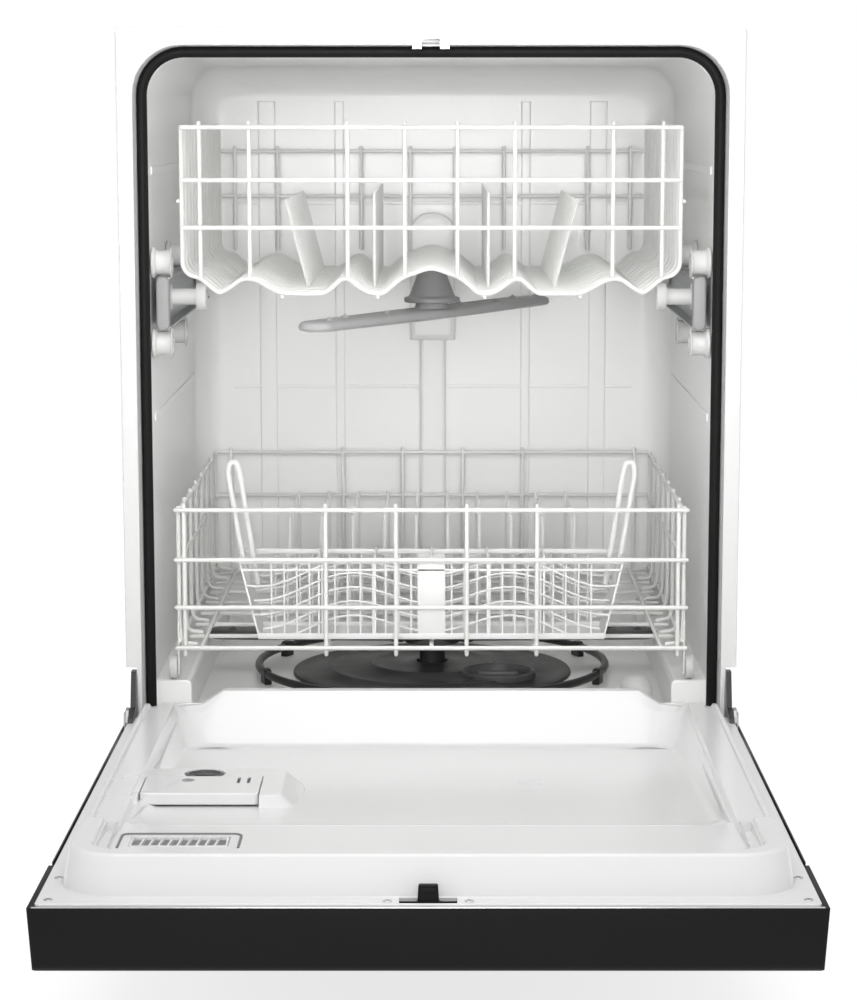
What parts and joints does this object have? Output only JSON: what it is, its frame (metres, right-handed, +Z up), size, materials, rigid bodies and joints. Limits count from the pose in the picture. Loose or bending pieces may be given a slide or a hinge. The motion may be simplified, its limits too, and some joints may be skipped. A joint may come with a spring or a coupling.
{
  "type": "built-in dishwasher",
  "caption": "Full-size built-in dishwasher with a drop-down door, two wire racks, spray arms, silverware basket, detergent dispenser and levelling legs, standing with the door open.",
  "frame": {"origin": "on the floor, under the middle of the overall box with the door open", "axes": "+X to the right seen from the front, +Y from the door into the tub, +Z up"},
  "size_m": [0.606, 1.242, 0.867],
  "materials": {
    "black_console": "satin black",
    "bright_steel": "bright plated",
    "dark_plastic": "glass-filled, dark",
    "door_white": "moulded, gloss",
    "galvanised": "zinc-coated sheet",
    "grey_plastic": "moulded polypropylene",
    "painted_steel": "black enamel",
    "rack_vinyl": "vinyl-coated wire",
    "roller_plastic": "moulded acetal",
    "seal_rubber": "extruded, matte",
    "tub_plastic": "moulded, satin gloss"
  },
  "bodies": {
    "root": {"base_frame": "galvanised", "door_seal": "seal_rubber", "drain_pump": "dark_plastic", "filter_cup": "dark_plastic", "filter_plate": "dark_plastic", "heating_element": "dark_plastic", "inlet_valve": "dark_plastic", "strike_plate": "bright_steel", "sump": "dark_plastic", "toe_panel": "painted_steel", "tub_back": "tub_plastic", "tub_floor": "tub_plastic", "tub_front": "tub_plastic", "tub_side_left": "tub_plastic", "tub_side_right": "tub_plastic", "wash_motor": "galvanised", "water_feed_duct": "tub_plastic"},
    "door": {"console": "black_console", "dispenser_housing": "door_white", "door_liner": "door_white", "door_panel": "painted_steel", "hinge_arm_left": "painted_steel", "hinge_arm_right": "painted_steel", "vent_grille": "dark_plastic"},
    "dispenser_lid": {"dispenser_lid": "door_white"},
    "float": {"float_dome": "roller_plastic"},
    "latch_catch": {"latch_catch": "black_console"},
    "lower_rack": {"lower_rack_floor": "rack_vinyl", "lower_rack_front": "rack_vinyl", "lower_rack_left": "rack_vinyl", "lower_rack_rear": "rack_vinyl", "lower_rack_right": "rack_vinyl"},
    "lower_spray_arm": {"lower_spray_arm": "grey_plastic"},
    "lower_wheel_front_left": {"lower_wheel_front_left": "roller_plastic"},
    "lower_wheel_front_right": {"lower_wheel_front_right": "roller_plastic"},
    "lower_wheel_rear_left": {"lower_wheel_rear_left": "roller_plastic"},
    "lower_wheel_rear_right": {"lower_wheel_rear_right": "roller_plastic"},
    "rail_left": {"rail_cap_left": "grey_plastic", "rail_left": "galvanised"},
    "rail_right": {"rail_cap_right": "grey_plastic", "rail_right": "galvanised"},
    "silverware_basket": {"silverware_basket": "rack_vinyl"},
    "start_button": {"start_button": "grey_plastic"},
    "tub_roller_front_lower_left": {"tub_roller_front_lower_left": "roller_plastic"},
    "tub_roller_front_lower_right": {"tub_roller_front_lower_right": "roller_plastic"},
    "tub_roller_front_upper_left": {"tub_roller_front_upper_left": "roller_plastic"},
    "tub_roller_front_upper_right": {"tub_roller_front_upper_right": "roller_plastic"},
    "tub_roller_rear_lower_left": {"tub_roller_rear_lower_left": "roller_plastic"},
    "tub_roller_rear_lower_right": {"tub_roller_rear_lower_right": "roller_plastic"},
    "tub_roller_rear_upper_left": {"tub_roller_rear_upper_left": "roller_plastic"},
    "tub_roller_rear_upper_right": {"tub_roller_rear_upper_right": "roller_plastic"},
    "upper_rack": {"upper_feed_tube": "grey_plastic", "upper_rack_basket": "rack_vinyl", "upper_rack_front": "rack_vinyl", "upper_rack_rear": "rack_vinyl"},
    "upper_spray_arm": {"upper_spray_arm": "grey_plastic"},
    "upper_wheel_front_left": {"upper_wheel_front_left": "roller_plastic"},
    "upper_wheel_front_right": {"upper_wheel_front_right": "roller_plastic"},
    "upper_wheel_rear_left": {"upper_wheel_rear_left": "roller_plastic"},
    "upper_wheel_rear_right": {"upper_wheel_rear_right": "roller_plastic"}
  },
  "joints": [
    {"name": "door_hinge", "type": "hinge", "parent": "root", "child": "door", "pos_m": [0, 0.049, 0.193], "axis": [-1, 0, 0], "range_deg": [0, 90]},
    {"name": "dispenser_lid_hinge", "type": "hinge", "parent": "door", "child": "dispenser_lid", "pos_m": [-0.1936, -0.309, 0.2137], "axis": [-1, 0, 0], "range_deg": [0, 100]},
    {"name": "latch_catch_slide", "type": "slide", "parent": "door", "child": "latch_catch", "axis": [0, 1, 0], "range_m": [0, 0.003], "stiffness_N_per_m": 400},
    {"name": "start_button_press", "type": "slide", "parent": "door", "child": "start_button", "axis": [0, 0, 1], "range_m": [0, 0.002], "stiffness_N_per_m": 300},
    {"name": "upper_rack_slide", "type": "slide", "parent": "root", "child": "upper_rack", "axis": [0, 1, 0], "range_m": [-0.3, 0]},
    {"name": "lower_rack_slide", "type": "slide", "parent": "root", "child": "lower_rack", "axis": [0, 1, 0], "range_m": [-0.46, 0]},
    {"name": "silverware_basket_lift", "type": "slide", "parent": "lower_rack", "child": "silverware_basket", "axis": [0, 0, 1], "range_m": [0, 0.08]},
    {"name": "upper_spray_arm_spin", "type": "hinge", "parent": "upper_rack", "child": "upper_spray_arm", "pos_m": [0, 0.319, 0.6112], "axis": [0, 0, 1], "continuous": true},
    {"name": "lower_spray_arm_spin", "type": "hinge", "parent": "root", "child": "lower_spray_arm", "pos_m": [0, 0.319, 0.226], "axis": [0, 0, 1], "continuous": true},
    {"name": "float_lift", "type": "slide", "parent": "root", "child": "float", "axis": [0, 0, 1], "range_m": [0, 0.012]},
    {"name": "rail_left_slide", "type": "slide", "parent": "root", "child": "rail_left", "axis": [0, 1, 0], "range_m": [-0.3, 0]},
    {"name": "rail_right_slide", "type": "slide", "parent": "root", "child": "rail_right", "axis": [0, 1, 0], "range_m": [-0.3, 0]},
    {"name": "upper_wheel_front_left_spin", "type": "hinge", "parent": "upper_rack", "child": "upper_wheel_front_left", "pos_m": [0, 0.1305, 0.6057], "axis": [1, 0, 0], "continuous": true},
    {"name": "lower_wheel_front_left_spin", "type": "hinge", "parent": "lower_rack", "child": "lower_wheel_front_left", "pos_m": [-0.252, 0.1015, 0.237], "axis": [1, 0, 0], "continuous": true},
    {"name": "tub_roller_front_upper_left_spin", "type": "hinge", "parent": "root", "child": "tub_roller_front_upper_left", "pos_m": [-0.275, 0.103, 0.6407], "axis": [1, 0, 0], "continuous": true},
    {"name": "tub_roller_front_lower_left_spin", "type": "hinge", "parent": "root", "child": "tub_roller_front_lower_left", "pos_m": [-0.275, 0.103, 0.5617], "axis": [1, 0, 0], "continuous": true},
    {"name": "upper_wheel_front_right_spin", "type": "hinge", "parent": "upper_rack", "child": "upper_wheel_front_right", "pos_m": [0, 0.1305, 0.6057], "axis": [1, 0, 0], "continuous": true},
    {"name": "lower_wheel_front_right_spin", "type": "hinge", "parent": "lower_rack", "child": "lower_wheel_front_right", "pos_m": [0.252, 0.1015, 0.237], "axis": [1, 0, 0], "continuous": true},
    {"name": "tub_roller_front_upper_right_spin", "type": "hinge", "parent": "root", "child": "tub_roller_front_upper_right", "pos_m": [0.275, 0.103, 0.6407], "axis": [1, 0, 0], "continuous": true},
    {"name": "tub_roller_front_lower_right_spin", "type": "hinge", "parent": "root", "child": "tub_roller_front_lower_right", "pos_m": [0.275, 0.103, 0.5617], "axis": [1, 0, 0], "continuous": true},
    {"name": "upper_wheel_rear_left_spin", "type": "hinge", "parent": "upper_rack", "child": "upper_wheel_rear_left", "pos_m": [0, 0.5005, 0.6057], "axis": [1, 0, 0], "continuous": true},
    {"name": "lower_wheel_rear_left_spin", "type": "hinge", "parent": "lower_rack", "child": "lower_wheel_rear_left", "pos_m": [-0.252, 0.536, 0.237], "axis": [1, 0, 0], "continuous": true},
    {"name": "tub_roller_rear_upper_left_spin", "type": "hinge", "parent": "root", "child": "tub_roller_rear_upper_left", "pos_m": [-0.275, 0.255, 0.6407], "axis": [1, 0, 0], "continuous": true},
    {"name": "tub_roller_rear_lower_left_spin", "type": "hinge", "parent": "root", "child": "tub_roller_rear_lower_left", "pos_m": [-0.275, 0.255, 0.5617], "axis": [1, 0, 0], "continuous": true},
    {"name": "upper_wheel_rear_right_spin", "type": "hinge", "parent": "upper_rack", "child": "upper_wheel_rear_right", "pos_m": [0, 0.5005, 0.6057], "axis": [1, 0, 0], "continuous": true},
    {"name": "lower_wheel_rear_right_spin", "type": "hinge", "parent": "lower_rack", "child": "lower_wheel_rear_right", "pos_m": [0.252, 0.536, 0.237], "axis": [1, 0, 0], "continuous": true},
    {"name": "tub_roller_rear_upper_right_spin", "type": "hinge", "parent": "root", "child": "tub_roller_rear_upper_right", "pos_m": [0.275, 0.255, 0.6407], "axis": [1, 0, 0], "continuous": true},
    {"name": "tub_roller_rear_lower_right_spin", "type": "hinge", "parent": "root", "child": "tub_roller_rear_lower_right", "pos_m": [0.275, 0.255, 0.5617], "axis": [1, 0, 0], "continuous": true}
  ],
  "couplings": [
    {"joint": "rail_left_slide", "follows": "upper_rack_slide", "ratio": 1},
    {"joint": "rail_right_slide", "follows": "upper_rack_slide", "ratio": 1}
  ]
}
